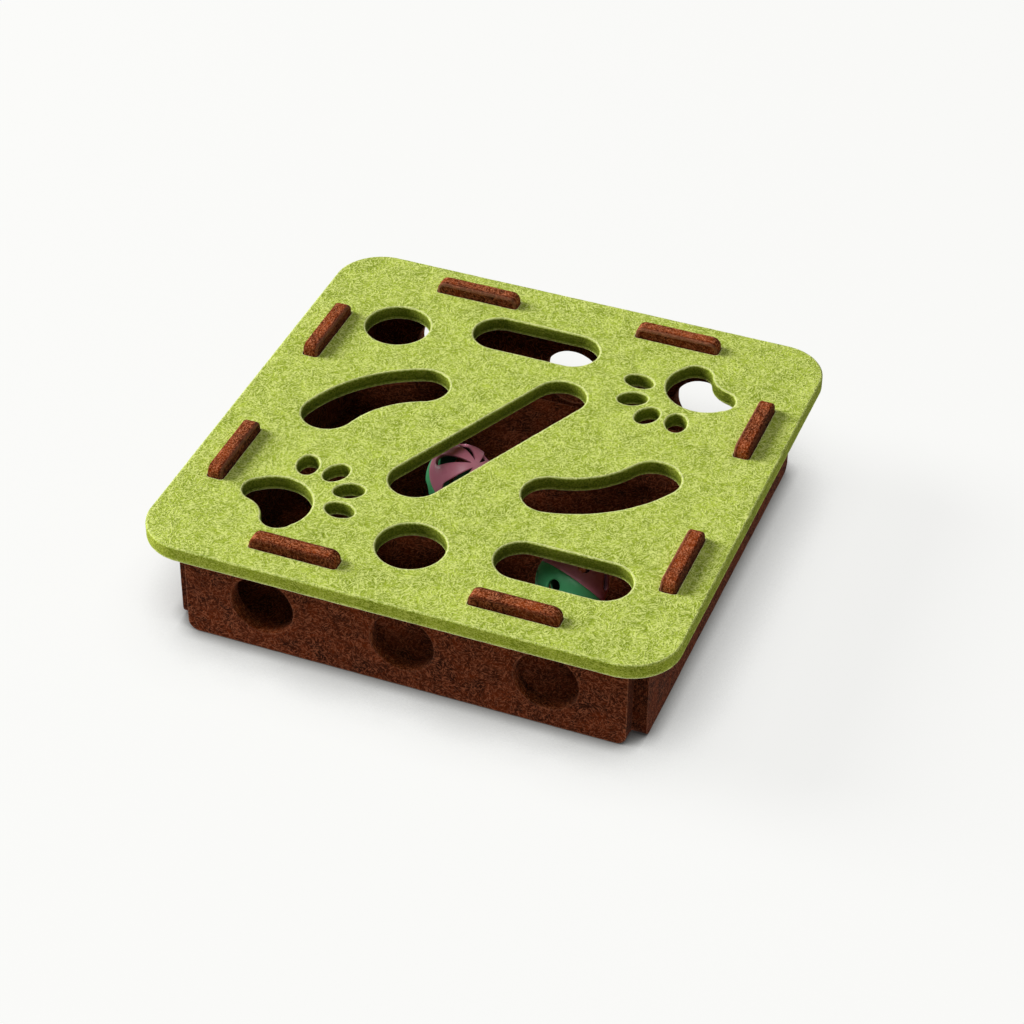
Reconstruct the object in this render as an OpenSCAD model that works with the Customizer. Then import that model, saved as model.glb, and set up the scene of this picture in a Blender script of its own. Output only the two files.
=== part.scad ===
// Felt maze box for cats: a slotted lid on four tabbed walls, with two hollow balls inside.
// Millimetres, +Z up. The origin is at the middle of the footprint, on the surface that the box stands on.

/* [Felt board] */
// Thickness of the felt board that all six panels are cut from
board_t = 9; // [7:0.5:11]
// Gap around a tab in its slot in the lid
tab_fit = 0.3; // [0.1:0.1:0.8]
// Gap between panels that only meet at their edges
panel_fit = 0.2; // [0.1:0.1:0.5]

/* [Lid] */
// Width of the lid, left to right
lid_w = 300; // [290:1:330]
// Depth of the lid, front to back
lid_d = 300; // [290:1:330]
// Radius of the lid's corners
lid_corner_r = 28; // [10:1:35]
// Overhang of the lid past the outer face of a wall
lid_overhang = 16; // [12:0.5:18]

/* [Lid cut-outs] */
// Diameter of the two round holes
round_d = 37.5; // [30:0.5:40]
// Place of the round hole at the back left, in shares of the lid's half sizes
round_back_at = [-0.63, 0.56]; // [-0.75:0.0001:0.75]
// Place of the round hole at the front, in shares of the lid's half sizes
round_front_at = [-0.0533, -0.6733]; // [-0.75:0.0001:0.75]
// Width of the straight slots
slot_w = 30.5; // [24:0.1:33]
// Length of the straight slots over their round ends
slot_len = 75.5; // [60:0.5:80]
// Place of the straight slot at the back, in shares of the lid's half sizes
slot_back_at = [-0.0933, 0.6573]; // [-0.75:0.0001:0.75]
// Place of the straight slot at the front right, in shares of the lid's half sizes
slot_front_at = [0.4907, -0.6027]; // [-0.75:0.0001:0.75]
// Width of the diagonal slot
diagonal_w = 30; // [24:0.5:33]
// Length of the diagonal slot over its round ends
diagonal_len = 140; // [110:1:145]
// Place of the middle of the diagonal slot, in shares of the lid's half sizes
diagonal_at = [-0.0333, 0.0187]; // [-0.75:0.0001:0.75]
// Turn of the diagonal slot from the front edge
diagonal_turn = 65.6; // [60:0.1:70]
// Width of the curved slots
curve_w = 30; // [24:0.5:32]
// Straight distance between the end centres of a curved slot
curve_span = 58.5; // [50:0.1:62]
// Rise of a curved slot's middle line above the line between its ends
curve_rise = 6.7; // [4:0.1:9]
// Place of the left curved slot, midway between its ends, in shares of the lid's half sizes
curve_left_at = [-0.5167, 0.086]; // [-0.75:0.0001:0.75]
// Turn of the left curved slot
curve_left_turn = 48.3; // [40:0.1:55]
// Place of the right curved slot, midway between its ends, in shares of the lid's half sizes
curve_right_at = [0.4507, -0.1033]; // [-0.75:0.0001:0.75]
// Turn of the right curved slot
curve_right_turn = 215.7; // [205:0.1:225]

/* [Paw prints] */
// Middle of the pad of the front left paw print, in shares of the lid's half sizes
paw_front_at = [-0.606, -0.622]; // [-0.75:0.0001:0.75]
// Middle of the pad of the back right paw print, in shares of the lid's half sizes
paw_back_at = [0.6, 0.6018]; // [-0.75:0.0001:0.75]
// Direction of the front left paw print, turned from the back
paw_front_turn = -43; // [-60:1:-30]
// Direction of the back right paw print, turned from the back
paw_back_turn = 137; // [120:1:150]
// Radius of the pad's front curve
pad_front_r = 22; // [20:0.5:24]
// Height of the pad's front curve above the pad's middle
pad_top = 20.4; // [18:0.1:22]
// Radius of each of the pad's two rear lobes
pad_lobe_r = 9.3; // [8:0.1:10]
// Sideways place of a lobe's centre
pad_lobe_x = 13.2; // [12:0.1:14]
// Distance of the lobes' centres behind the pad's middle
pad_lobe_back = 3; // [2.5:0.1:5]
// Depth of the rounded notch between the lobes, behind their centres
pad_notch = 5.9; // [4:0.1:7]
// Length of a toe
toe_len = 16.8; // [15:0.1:19]
// Width of a toe
toe_w = 11.8; // [11:0.1:14]
// Radius of a toe's ends
toe_end_r = 4.4; // [3.5:0.1:5]
// Place of an outer toe, sideways and ahead of the pad's middle
toe_outer_at = [21.9, 28.8]; // [20:0.1:32]
// Turn of an outer toe from the paw's own direction
toe_outer_turn = 55; // [45:1:60]
// Place of an inner toe, sideways and ahead of the pad's middle
toe_inner_at = [8.8, 40]; // [8:0.1:42]
// Turn of an inner toe from the paw's own direction
toe_inner_turn = 21; // [10:1:30]

/* [Walls] */
// Height of a wall under the lid
wall_h = 59.5; // [56:0.5:70]
// Length by which the front and back walls run past the inner faces of the side walls
wall_lap = 1; // [0:0.5:6]
// Radius of a wall's lower corners
wall_foot_r = 6; // [2:0.5:8]
// Length of a tab
tab_len = 50; // [40:1:54]
// Distance between the middles of a wall's two tabs
tab_pitch = 124; // [110:1:130]
// Rise of a tab above the lid
tab_rise = 6.5; // [4:0.5:10]
// Radius of a tab's upper corners
tab_corner_r = 5; // [2:0.5:6]
// Number of round holes in the front wall, and in the back wall
wall_hole_count = 3; // [1:1:3]
// Diameter of the round holes in the front and back walls
wall_hole_d = 36; // [30:0.5:38]
// Distance between the middles of neighbouring holes in a wall
wall_hole_pitch = 81; // [74:0.5:84]
// Height of the holes' middles above the ground
wall_hole_z = 29.5; // [28.5:0.5:34]

/* [Balls] */
// Outer diameter of a ball
ball_d = 40; // [38:0.5:44]
// Wall thickness of a ball
ball_wall = 2; // [1.4:0.1:2.4]
// Gap between a ball and what it rests on
ball_fit = 0.3; // [0.2:0.1:0.6]
// Number of openings in each half of a ball
opening_count = 6; // [4:1:7]
// Angle from the pole to the pointed end of an opening
opening_tip = 8; // [6:1:10]
// Angle from the pointed end to the middle of the round end of an opening
opening_reach = 55; // [48:1:58]
// Half of the angle at an opening's pointed end
opening_spread = 13; // [9:1:16]
// Height of the lip that joins the two halves of a ball
seam_lip_h = 1.6; // [1:0.1:2.5]
// Gap around that lip
seam_fit = 0.05; // [0.02:0.01:0.1]
// Place of ball 1 on the floor panel
ball_1_at = [-24.5, 9]; // [-40:0.5:40]
// Lean of ball 1's pink pole from straight up
ball_1_lean = 36; // [0:1:180]
// Compass direction of that lean, from +X
ball_1_heading = -20; // [-180:1:180]
// Turn of ball 1's pink half about its pole
ball_1_pink_spin = -27; // [-30:0.5:30]
// Turn of ball 1's green half about its pole
ball_1_green_spin = 3; // [-30:0.5:30]
// Place of ball 2 on the floor panel
ball_2_at = [65.5, -53]; // [-80:0.5:80]
// Lean of ball 2's pink pole from straight up
ball_2_lean = 54.5; // [0:0.5:180]
// Compass direction of that lean, from +X
ball_2_heading = 67.5; // [-180:0.5:180]
// Turn of ball 2's pink half about its pole
ball_2_pink_spin = -27; // [-30:0.5:30]
// Turn of ball 2's green half about its pole
ball_2_green_spin = 7.5; // [-30:0.5:30]

/* [Bells] */
// Outer diameter of a jingle bell
bell_d = 12; // [11:0.5:15]
// Thickness of the bell's sheet metal
bell_wall = 0.4; // [0.3:0.05:0.6]
// Width of the crimped band round the bell
crimp_h = 1.2; // [0.8:0.1:2]
// Gap between the crimped band and the cup that it holds
crimp_fit = 0.05; // [0.02:0.01:0.1]
// Width of the slots in the bell's cup
bell_slot_w = 1.2; // [0.8:0.1:1.6]
// Diameter of the hole at each end of a slot
bell_slot_hole_d = 2.4; // [2:0.1:3]
// Angle from the bottom of the cup to the hole at a slot's end
bell_slot_reach = 52; // [40:1:60]
// Diameter of the wire of the bell's loop
loop_wire_d = 0.9; // [0.6:0.1:1.2]
// Outer diameter of the bell's loop
loop_d = 4.4; // [3.6:0.1:5]
// Lean of a bell as it lies in its ball
bell_lean = 30; // [0:1:60]
// Diameter of the pellet in a bell
pellet_d = 3.6; // [2.5:0.1:4.2]
// Gap between the pellet and the bell
pellet_fit = 0.1; // [0.05:0.05:0.3]

/* [Hidden] */
$fn = 120;
// Overrun that carries a cut past the face it leaves by
over = 1;

// Colours of the real stuff
felt_green = "#b2c15b";
felt_brown = "#6b3a22";
plastic_pink = "#c8707f";
plastic_green = "#4fa36f";
tinned_steel = "#b9bcc0";
plain_steel = "#8d9095";

// Outer and inner faces of the walls, measured from the middle of the box
wall_out_x = lid_w / 2 - lid_overhang;
wall_out_y = lid_d / 2 - lid_overhang;
wall_in_x = wall_out_x - board_t;
wall_in_y = wall_out_y - board_t;
// Lengths of the walls: the side walls stop between the inner faces of the front and back walls
long_wall = 2 * (wall_in_x + wall_lap);
side_wall = 2 * (wall_in_y - panel_fit);
tab_top = wall_h + board_t + tab_rise;

// Overlap of arcs that run into each other, so that they cross and leave no sliver where they would only touch
arc_lap = 0.05;
// Rounded notch of the pad: its circle touches both lobes
notch_y = -pad_lobe_back - pad_notch;
notch_r = (pow(pad_notch, 2) + pow(pad_lobe_x, 2) - pow(pad_lobe_r, 2)) / (2 * (pad_lobe_r - pad_notch));
// Toe: an oval of two end arcs and two side arcs that run into each other
toe_end_x = toe_len / 2 - toe_end_r;
toe_side_r = (pow(toe_end_x, 2) + pow(toe_w / 2, 2) - pow(toe_end_r, 2)) / (toe_w - 2 * toe_end_r);
toe_side_y = toe_side_r - toe_w / 2;
toe_join_x = toe_end_x * toe_side_r / (toe_side_r - toe_end_r);
// Curved slot: radius of its middle line and half of its angle
curve_r = pow(curve_span, 2) / (8 * curve_rise) + curve_rise / 2;
curve_half = asin(curve_span / (2 * curve_r));

// Balls and what is inside them
ball_r = ball_d / 2;
ball_in_r = ball_r - ball_wall;
seam_r = ball_r - ball_wall / 2;
ball_z = board_t + ball_fit + ball_r;
opening_round = asin(sin(opening_reach) * sin(opening_spread));
opening_join = acos(cos(opening_reach) / cos(opening_round));
bell_r = bell_d / 2;
bell_in_r = bell_r - bell_wall;
bell_drop = ball_in_r - ball_fit - bell_r;
crimp_in_r = bell_r + crimp_fit;
crimp_out_r = crimp_in_r + bell_wall;
loop_r = (loop_d - loop_wire_d) / 2;
pellet_r = pellet_d / 2;
pellet_drop = bell_in_r - pellet_fit - pellet_r;

// Point on the lid, from its shares of the half width and half depth
function on_lid(share) = [share[0] * lid_w / 2, share[1] * lid_d / 2];

// Flat shapes

// Rectangle from the origin's middle with four round corners
module rounded_rectangle(w, d, r) {
    square([w - 2 * r, d], center = true);
    square([w, d - 2 * r], center = true);
    for (x = [-1, 1], y = [-1, 1])
        translate([x * (w / 2 - r), y * (d / 2 - r)])
            circle(r);
}

// Straight slot with round ends, along X
module straight_slot(len, w) {
    square([len - w, w], center = true);
    for (side = [-1, 1])
        translate([side * (len - w) / 2, 0])
            circle(w / 2);
}

// Curved slot with round ends, which bulges to +Y
module curved_slot() {
    reach = curve_r + curve_w;
    translate([0, curve_rise - curve_r]) {
        intersection() {
            difference() {
                circle(curve_r + curve_w / 2);
                circle(curve_r - curve_w / 2);
            }
            polygon([[0, 0], reach * [sin(curve_half), cos(curve_half)], [0, 2 * reach],
                reach * [-sin(curve_half), cos(curve_half)]]);
        }
        for (side = [-1, 1])
            rotate(side * curve_half)
                translate([0, curve_r])
                    circle(curve_w / 2 + arc_lap);
    }
}

// Toe of a paw print, along Y
module toe() {
    rotate(90) {
        intersection() {
            toe_sides();
            square([2 * toe_join_x, 2 * toe_w], center = true);
        }
        for (end = [-1, 1])
            translate([end * toe_end_x, 0])
                circle(toe_end_r + arc_lap);
    }
}

// Lens between the toe's two side arcs
module toe_sides() {
    intersection() {
        translate([0, toe_side_y])
            circle(toe_side_r);
        translate([0, -toe_side_y])
            circle(toe_side_r);
    }
}

// Pad of a paw print: a broad front, two lobes behind and a rounded notch between them
module pad() {
    intersection() {
        translate([0, pad_top - pad_front_r])
            circle(pad_front_r);
        translate([-pad_front_r, -pad_lobe_back])
            square([2 * pad_front_r, pad_front_r + pad_top + pad_lobe_back]);
    }
    difference() {
        union() {
            for (side = [-1, 1])
                translate([side * pad_lobe_x, -pad_lobe_back])
                    circle(pad_lobe_r);
            polygon([[pad_lobe_x, -pad_lobe_back], [pad_lobe_x, 0], [-pad_lobe_x, 0],
                [-pad_lobe_x, -pad_lobe_back], [0, notch_y - notch_r]]);
        }
        translate([0, notch_y - notch_r])
            circle(notch_r + arc_lap);
    }
}

// Paw print that points to +Y, with its pad's middle at the origin
module paw_print() {
    pad();
    for (side = [-1, 1]) {
        translate([side * toe_outer_at[0], toe_outer_at[1]])
            rotate(-side * toe_outer_turn)
                toe();
        translate([side * toe_inner_at[0], toe_inner_at[1]])
            rotate(-side * toe_inner_turn)
                toe();
    }
}

// Slots of the lid for the two tabs of one wall along X
module tab_slots() {
    for (side = [-1, 1])
        translate([side * tab_pitch / 2, 0])
            square([tab_len + 2 * tab_fit, board_t + 2 * tab_fit], center = true);
}

// All the cut-outs of the lid
module lid_cut_outs() {
    for (at = [round_back_at, round_front_at])
        translate(on_lid(at))
            circle(round_d / 2);
    for (at = [slot_back_at, slot_front_at])
        translate(on_lid(at))
            straight_slot(slot_len, slot_w);
    translate(on_lid(diagonal_at))
        rotate(diagonal_turn)
            straight_slot(diagonal_len, diagonal_w);
    translate(on_lid(curve_left_at))
        rotate(curve_left_turn)
            curved_slot();
    translate(on_lid(curve_right_at))
        rotate(curve_right_turn)
            curved_slot();
    translate(on_lid(paw_front_at))
        rotate(paw_front_turn)
            paw_print();
    translate(on_lid(paw_back_at))
        rotate(paw_back_turn)
            paw_print();
    for (side = [-1, 1]) {
        translate([0, side * (wall_out_y - board_t / 2)])
            tab_slots();
        translate([side * (wall_out_x - board_t / 2), 0])
            rotate(90)
                tab_slots();
    }
}

// Outline of a wall, upright in X and Y, with its foot on Y = 0
module wall_outline(len, holes) {
    difference() {
        union() {
            translate([0, wall_h / 2])
                rounded_rectangle(len, wall_h, wall_foot_r);
            translate([-len / 2, wall_foot_r])
                square([len, wall_h - wall_foot_r]);
            for (side = [-1, 1])
                translate([side * tab_pitch / 2, 0])
                    tab_outline();
        }
        for (i = [0 : holes - 1])
            translate([(i - (holes - 1) / 2) * wall_hole_pitch, wall_hole_z])
                circle(wall_hole_d / 2);
    }
}

// Outline of one tab, from inside the wall to its rounded top
module tab_outline() {
    root = wall_h - wall_foot_r;
    translate([0, (root + tab_top) / 2])
        rounded_rectangle(tab_len, tab_top - root, tab_corner_r);
}

// Wall with its thickness from the outer face at Y = 0 to the inner face
module wall(len, holes) {
    translate([0, board_t, 0])
        rotate([90, 0, 0])
            linear_extrude(board_t)
                wall_outline(len, holes);
}

// Balls

// Cut for one opening, as seen from the ball's centre: pointed near the pole and round at the far end
module opening_cut() {
    half_w = ball_d * tan(opening_spread);
    rotate([0, opening_tip, 0]) {
        intersection() {
            linear_extrude(ball_d)
                polygon([[0, 0], [ball_d, -half_w], [ball_d, half_w]]);
            cylinder(h = ball_d, r1 = 0, r2 = ball_d * tan(opening_join));
        }
        rotate([0, opening_reach, 0])
            cylinder(h = ball_d, r1 = 0, r2 = ball_d * tan(opening_round));
    }
}

// Upper half of a ball's shell with its openings
module half_shell(spin) {
    difference() {
        sphere(ball_r);
        sphere(ball_in_r);
        translate([-ball_d, -ball_d, -2 * ball_d])
            cube(2 * ball_d);
        for (i = [0 : opening_count - 1])
            rotate(spin + i * 360 / opening_count)
                opening_cut();
    }
}

// Pink half: its rim is cut back inside to take the lip of the other half
module pink_half(spin) {
    difference() {
        half_shell(spin);
        translate([0, 0, -over])
            cylinder(h = seam_lip_h + seam_fit + over, r = seam_r);
    }
}

// Green half: its lip stands up inside the pink half's rim
module green_half(spin) {
    mirror([0, 0, 1])
        half_shell(spin);
    difference() {
        cylinder(h = seam_lip_h, r = seam_r - seam_fit);
        sphere(ball_in_r);
    }
}

// Places a ball, with its pink pole leaning over
module ball_place(at, lean, heading) {
    translate([at[0], at[1], ball_z])
        rotate([0, lean, heading])
            children();
}

// Bells

// Upper half of the bell, with the crimped band and the wire loop
module bell_upper() {
    difference() {
        sphere(bell_r);
        sphere(bell_in_r);
        translate([-bell_d, -bell_d, -2 * bell_d])
            cube(2 * bell_d);
    }
    difference() {
        translate([0, 0, -crimp_h / 2])
            cylinder(h = crimp_h, r = crimp_out_r);
        translate([0, 0, -crimp_h / 2 - over])
            cylinder(h = crimp_h / 2 + over, r = crimp_in_r);
        translate([0, 0, -over])
            cylinder(h = crimp_h + 2 * over, r = bell_r - bell_wall / 2);
    }
    translate([0, 0, bell_r + loop_r - loop_wire_d / 2])
        rotate([90, 0, 0])
            rotate_extrude()
                translate([loop_r, 0])
                    circle(loop_wire_d / 2);
}

// Lower half of the bell, with two crossed slots that end in round holes
module bell_lower() {
    difference() {
        sphere(bell_r);
        sphere(bell_in_r);
        translate([-bell_d, -bell_d, 0])
            cube(2 * bell_d);
        for (turn = [0, 90])
            rotate(turn)
                bell_slot();
    }
}

// One slot across the bottom of the cup
module bell_slot() {
    cut_len = 2 * bell_r * sin(bell_slot_reach);
    translate([-cut_len / 2, -bell_slot_w / 2, -bell_d])
        cube([cut_len, bell_slot_w, bell_d - bell_in_r * cos(bell_slot_reach)]);
    for (side = [-1, 1])
        rotate([0, 180 - side * bell_slot_reach, 0])
            cylinder(h = bell_d, d = bell_slot_hole_d);
}

// Places a bell at the bottom of its ball, leaning over
module bell_place(at, lean) {
    translate([at[0], at[1], ball_z - bell_drop])
        rotate([0, lean, 0])
            children();
}

// Pellet at the bottom of a bell
module pellet(at) {
    translate([at[0], at[1], ball_z - bell_drop - pellet_drop])
        sphere(pellet_r);
}

// The pieces

module lid() {
    color(felt_green)
        translate([0, 0, wall_h])
            linear_extrude(board_t)
                difference() {
                    rounded_rectangle(lid_w, lid_d, lid_corner_r);
                    lid_cut_outs();
                }
}

module front_wall() {
    color(felt_brown)
        translate([0, -wall_out_y, 0])
            wall(long_wall, wall_hole_count);
}

module back_wall() {
    color(felt_brown)
        rotate(180)
            translate([0, -wall_out_y, 0])
                wall(long_wall, wall_hole_count);
}

module left_wall() {
    color(felt_brown)
        rotate(-90)
            translate([0, -wall_out_x, 0])
                wall(side_wall, 0);
}

module right_wall() {
    color(felt_brown)
        rotate(90)
            translate([0, -wall_out_x, 0])
                wall(side_wall, 0);
}

module floor_panel() {
    color(felt_brown)
        translate([panel_fit - wall_in_x, panel_fit - wall_in_y, 0])
            cube([2 * (wall_in_x - panel_fit), 2 * (wall_in_y - panel_fit), board_t]);
}

module ball_1_pink_half() {
    color(plastic_pink)
        ball_place(ball_1_at, ball_1_lean, ball_1_heading)
            pink_half(ball_1_pink_spin);
}

module ball_1_green_half() {
    color(plastic_green)
        ball_place(ball_1_at, ball_1_lean, ball_1_heading)
            green_half(ball_1_green_spin);
}

module bell_1_cap() {
    color(tinned_steel)
        bell_place(ball_1_at, bell_lean)
            bell_upper();
}

module bell_1_cup() {
    color(tinned_steel)
        bell_place(ball_1_at, bell_lean)
            bell_lower();
}

module bell_1_pellet() {
    color(plain_steel)
        pellet(ball_1_at);
}

module ball_2_pink_half() {
    color(plastic_pink)
        ball_place(ball_2_at, ball_2_lean, ball_2_heading)
            pink_half(ball_2_pink_spin);
}

module ball_2_green_half() {
    color(plastic_green)
        ball_place(ball_2_at, ball_2_lean, ball_2_heading)
            green_half(ball_2_green_spin);
}

module bell_2_cap() {
    color(tinned_steel)
        bell_place(ball_2_at, -bell_lean)
            bell_upper();
}

module bell_2_cup() {
    color(tinned_steel)
        bell_place(ball_2_at, -bell_lean)
            bell_lower();
}

module bell_2_pellet() {
    color(plain_steel)
        pellet(ball_2_at);
}

lid();
front_wall();
back_wall();
left_wall();
right_wall();
floor_panel();
ball_1_pink_half();
ball_1_green_half();
bell_1_cap();
bell_1_cup();
bell_1_pellet();
ball_2_pink_half();
ball_2_green_half();
bell_2_cap();
bell_2_cup();
bell_2_pellet();
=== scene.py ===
"""Looks of the felt maze box: boards of needle-punched felt with soft cut edges, and hollow balls with bells.

Lengths are written in millimetres and turned to metres where a mesh is made. The frame is the CAD part's own.
"""

import math

import bmesh
import bpy
import numpy as np
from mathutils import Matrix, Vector, geometry


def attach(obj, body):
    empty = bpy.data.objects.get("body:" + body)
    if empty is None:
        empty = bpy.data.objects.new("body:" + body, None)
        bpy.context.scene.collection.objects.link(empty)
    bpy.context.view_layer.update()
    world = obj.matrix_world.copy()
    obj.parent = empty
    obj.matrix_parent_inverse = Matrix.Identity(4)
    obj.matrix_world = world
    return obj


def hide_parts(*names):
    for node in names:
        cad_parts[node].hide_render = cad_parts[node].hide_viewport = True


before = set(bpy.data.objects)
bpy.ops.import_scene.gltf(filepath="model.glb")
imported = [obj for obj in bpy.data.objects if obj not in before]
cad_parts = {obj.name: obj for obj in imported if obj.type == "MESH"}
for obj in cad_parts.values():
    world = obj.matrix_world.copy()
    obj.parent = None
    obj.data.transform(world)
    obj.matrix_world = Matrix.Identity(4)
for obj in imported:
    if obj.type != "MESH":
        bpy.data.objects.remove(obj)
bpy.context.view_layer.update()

MM = 0.001
FULL_TURN = 2.0 * math.pi

# Camera, solved from the lid's corners in the photograph
CAMERA_AT = (0.46074, -1.17684, 1.01606)
CAMERA_TURN = (51.744, -0.517, 21.367)
CAMERA_LENS = 100.758
SENSOR = 36.0

# Felt boards, with the sizes of the part's source
BOARD = 9.0
LID_SIZE = 300.0
LID_CORNER = 28.0
LID_UNDER = 59.5
TAB_FIT = 0.3
PANEL_FIT = 0.2
WALL_OUT = 134.0
WALL_IN = WALL_OUT - BOARD
LONG_WALL = 252.0
SIDE_WALL = 249.6
FOOT_CORNER = 6.0
TAB_LENGTH = 50.0
TAB_PITCH = 124.0
TAB_TOP = 75.0
TAB_CORNER = 5.0
WALL_HOLE_R = 18.0
WALL_HOLE_PITCH = 81.0
WALL_HOLE_Z = 29.5

# Cut-outs of the lid
ROUND_R = 18.75
ROUND_AT = ((-94.5, 84.0), (-8.0, -101.0))
SLOT_LENGTH = 75.5
SLOT_WIDTH = 30.5
SLOT_AT = ((-14.0, 98.6), (73.6, -90.4))
DIAGONAL_LENGTH = 140.0
DIAGONAL_WIDTH = 30.0
DIAGONAL_AT = (-5.0, 2.8)
DIAGONAL_TURN = 65.6
CURVE_WIDTH = 30.0
CURVE_SPAN = 58.5
CURVE_RISE = 6.7
CURVE_AT = (((-77.5, 12.9), 48.3), ((67.6, -15.5), 215.7))
PAW_AT = (((-90.9, -93.3), -43.0), ((90.0, 90.27), 137.0))
PAD_FRONT_R = 22.0
PAD_TOP = 20.4
PAD_LOBE_R = 9.3
PAD_LOBE_AT = (13.2, -3.0)
PAD_NOTCH = 5.9
TOE_LENGTH = 16.8
TOE_WIDTH = 11.8
TOE_END_R = 4.4
TOES = (((21.9, 28.8), -55.0), ((8.8, 40.0), -21.0), ((-8.8, 40.0), 21.0), ((-21.9, 28.8), 55.0))

# Steps of the paths, the distance below which two points are one, and the straight run that a slot's corner
# arcs leave on each side of its ends
PATH_STEP = 1.3
ARC_LEAST_STEPS = 4
TOUCHING = 1e-6
END_GAP = 0.01

# Soft edges of the cut boards
SHARP_CORNER = 2.0
ROOT_CORNER = 0.8
LID_EDGE_R = 1.1
SLOT_EDGE_R = 0.4
TAB_EDGE_R = 1.6
WALL_EDGE_R = 0.6
WALL_END_R = 0.3
RIM_FACE = 0.9

# Rows of an edge's profile from one face to the other: points of each quarter circle, heights on the cut side
# as shares of the board, and each row's count for the material: 0 on a face, about 1 on the edge and 2 on the
# cut side
QUARTER_POINTS = 5
SIDE_SHARES = (0.62, 0.38)
RIM_COUNTS = np.array([0.0, 0.8, 0.95, 1.1, 1.5, 1.8, 2.0, 2.0, 1.25, 0.95, 0.9, 0.85, 0.8, 0.0])

# Painted shade of an opening's cut side at its upper edge, and the share of the edge's radius below which the
# painted shade is full
PAINTED_SHADE_TOP = 0.35
LOWER_EDGE = 0.99

# Ragged cut sides: depth, number of waves, fewest turns round a cut, shortest wave, slant in radians for each
# millimetre of height, and the divisor that brings the waves' sum near to one
RAGGED = 0.10
RAG_WAVES = 12
RAG_LEAST_TURNS = 3
RAG_SHORTEST = 2.5
RAG_SLANT = 0.9
RAG_DIVISOR = 10.0

# Uneven faces: depth, number of waves, lengths of the long and short ones, and the share of the short ones
SINK = 0.12
SINK_WAVES = 14
SINK_LONG = (7.0, 22.0)
SINK_SHORT = (3.5, 6.0)
SINK_SHORT_SHARE = 0.5

# Net of the faces: step, the share of it that stays clear at the lips, the net's tolerance, the rise below
# which an edge counts as level, and the points that are tested at once
FACE_STEP = 2.6
FACE_CLEAR = 0.6
NET_TOLERANCE = 1e-5
LEVEL_RISE = 1e-12
POINTS_AT_ONCE = 1000

# Felt's pattern: layers of fibres as (cell of one direction, fibre length and fibre width in millimetres,
# shift of the mosaic in metres), size and depth of the fibres' curl, pits, denser patches of the web, the
# spread of directions in radians, and the distance between two boards' places in the pattern
FIBRE_LAYERS = ((4.6, 3.8, 0.85, 0.0), (3.8, 3.2, 0.72, 0.31), (5.4, 4.6, 1.0, 0.67))
CURL_SIZE = 3.0
CURL = 1.0
PIT = 0.95
WEB = 13.0
FIBRE_TURNS = 20.0
PATTERN_SHIFT = 40.0

# Where fibres and pits begin to show in their noises, and how far they and the web cover what lies below
FIBRE_SOFT = 0.18
FIBRE_COVER = 0.9
PIT_SHOWS = (0.53, 0.68)
PIT_COVER = 0.8
WEB_COVER = 0.85

# Rim counts over which the frayed line with its painted sheen comes and goes and the cut side's tone, partly
# painted light and shade, comes, the share of that line on open edges, and the height of the felt's relief
FRAY_AND_PAINTED_SHEEN_COMES = (0.45, 0.8)
FRAY_AND_PAINTED_SHEEN_GOES = (0.9, 1.2)
CUT_COMES = (1.1, 1.8)
OPEN_FRAY_AND_PAINTED_SHEEN = 0.15
RELIEF = 0.25

# Balls and their openings
BALL_R = 20.0
BALL_IN_R = 18.0
BALL_Z = 29.3
BALLS = {
    1: {"at": (-24.5, 9.0), "lean": 36.0, "heading": -20.0, "pink": -27.0, "green": 3.0},
    2: {"at": (65.5, -53.0), "lean": 54.5, "heading": 67.5, "pink": -27.0, "green": 7.5},
}
OPENINGS = 6
OPENING_TIP = 8.0
OPENING_REACH = 55.0
OPENING_SPREAD = 13.0
OPENING_EDGE_R = 0.45
SEAM_R = 19.0
SEAM_LIP = 1.6
SEAM_FIT = 0.05
SEAM_EDGE = 0.3
SEAM_BEVEL = 0.3

# Grid of a ball's sector: points on an opening's flank and round end, rows on the outer and inner surface as
# shares of the way from the opening to the border, and the distances below which points merge and edges go
FLANK_POINTS = 15
BEND_POINTS = 19
OUTER_SHARES = (1.0, 0.75, 0.5, 0.28)
INNER_SHARES = (0.3, 0.65, 1.0)
MERGE = 0.002
DEGENERATE = 0.001
AT_EQUATOR = 1.0 - 1e-9

# Node kinds that are used often, the mix node's sockets for colours, and settings that come back
ATTRIBUTE = "ShaderNodeAttribute"
BUMP = "ShaderNodeBump"
MATH = "ShaderNodeMath"
MIX = "ShaderNodeMix"
NOISE = "ShaderNodeTexNoise"
PRINCIPLED = "ShaderNodeBsdfPrincipled"
RANGE = "ShaderNodeMapRange"
VECTOR = "ShaderNodeVectorMath"
MIX_A = 6
MIX_B = 7
MIX_RESULT = 2
COLOURS = {"data_type": "RGBA"}
SMOOTH = {"interpolation_type": "SMOOTHSTEP"}


# Paths of the cut outlines

def arc(centre, radius, start, end):
    """Points of a circle's arc between two angles in degrees, spaced about one path step apart."""
    steps = max(ARC_LEAST_STEPS, math.ceil(radius * math.radians(abs(end - start)) / PATH_STEP))
    angles = np.radians(np.linspace(start, end, steps + 1))
    return np.array(centre) + radius * np.stack([np.cos(angles), np.sin(angles)], 1)


def circle(radius):
    """Closed path of a circle about the origin."""
    return arc((0.0, 0.0), radius, 0.0, 360.0)[:-1]


def closed_path(parts):
    """Joins arcs in their order into one closed path, and fills the straight runs between them evenly."""
    filled = []
    for part, following in zip(parts, parts[1:] + parts[:1]):
        run = np.linalg.norm(following[0] - part[-1])
        filled.append(part[:-1] if run < TOUCHING else part)
        count = math.ceil(run / PATH_STEP)
        if count > 1:
            shares = np.arange(1, count)[:, None] / count
            filled.append(part[-1] + shares * (following[0] - part[-1]))
    return np.concatenate(filled)


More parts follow.
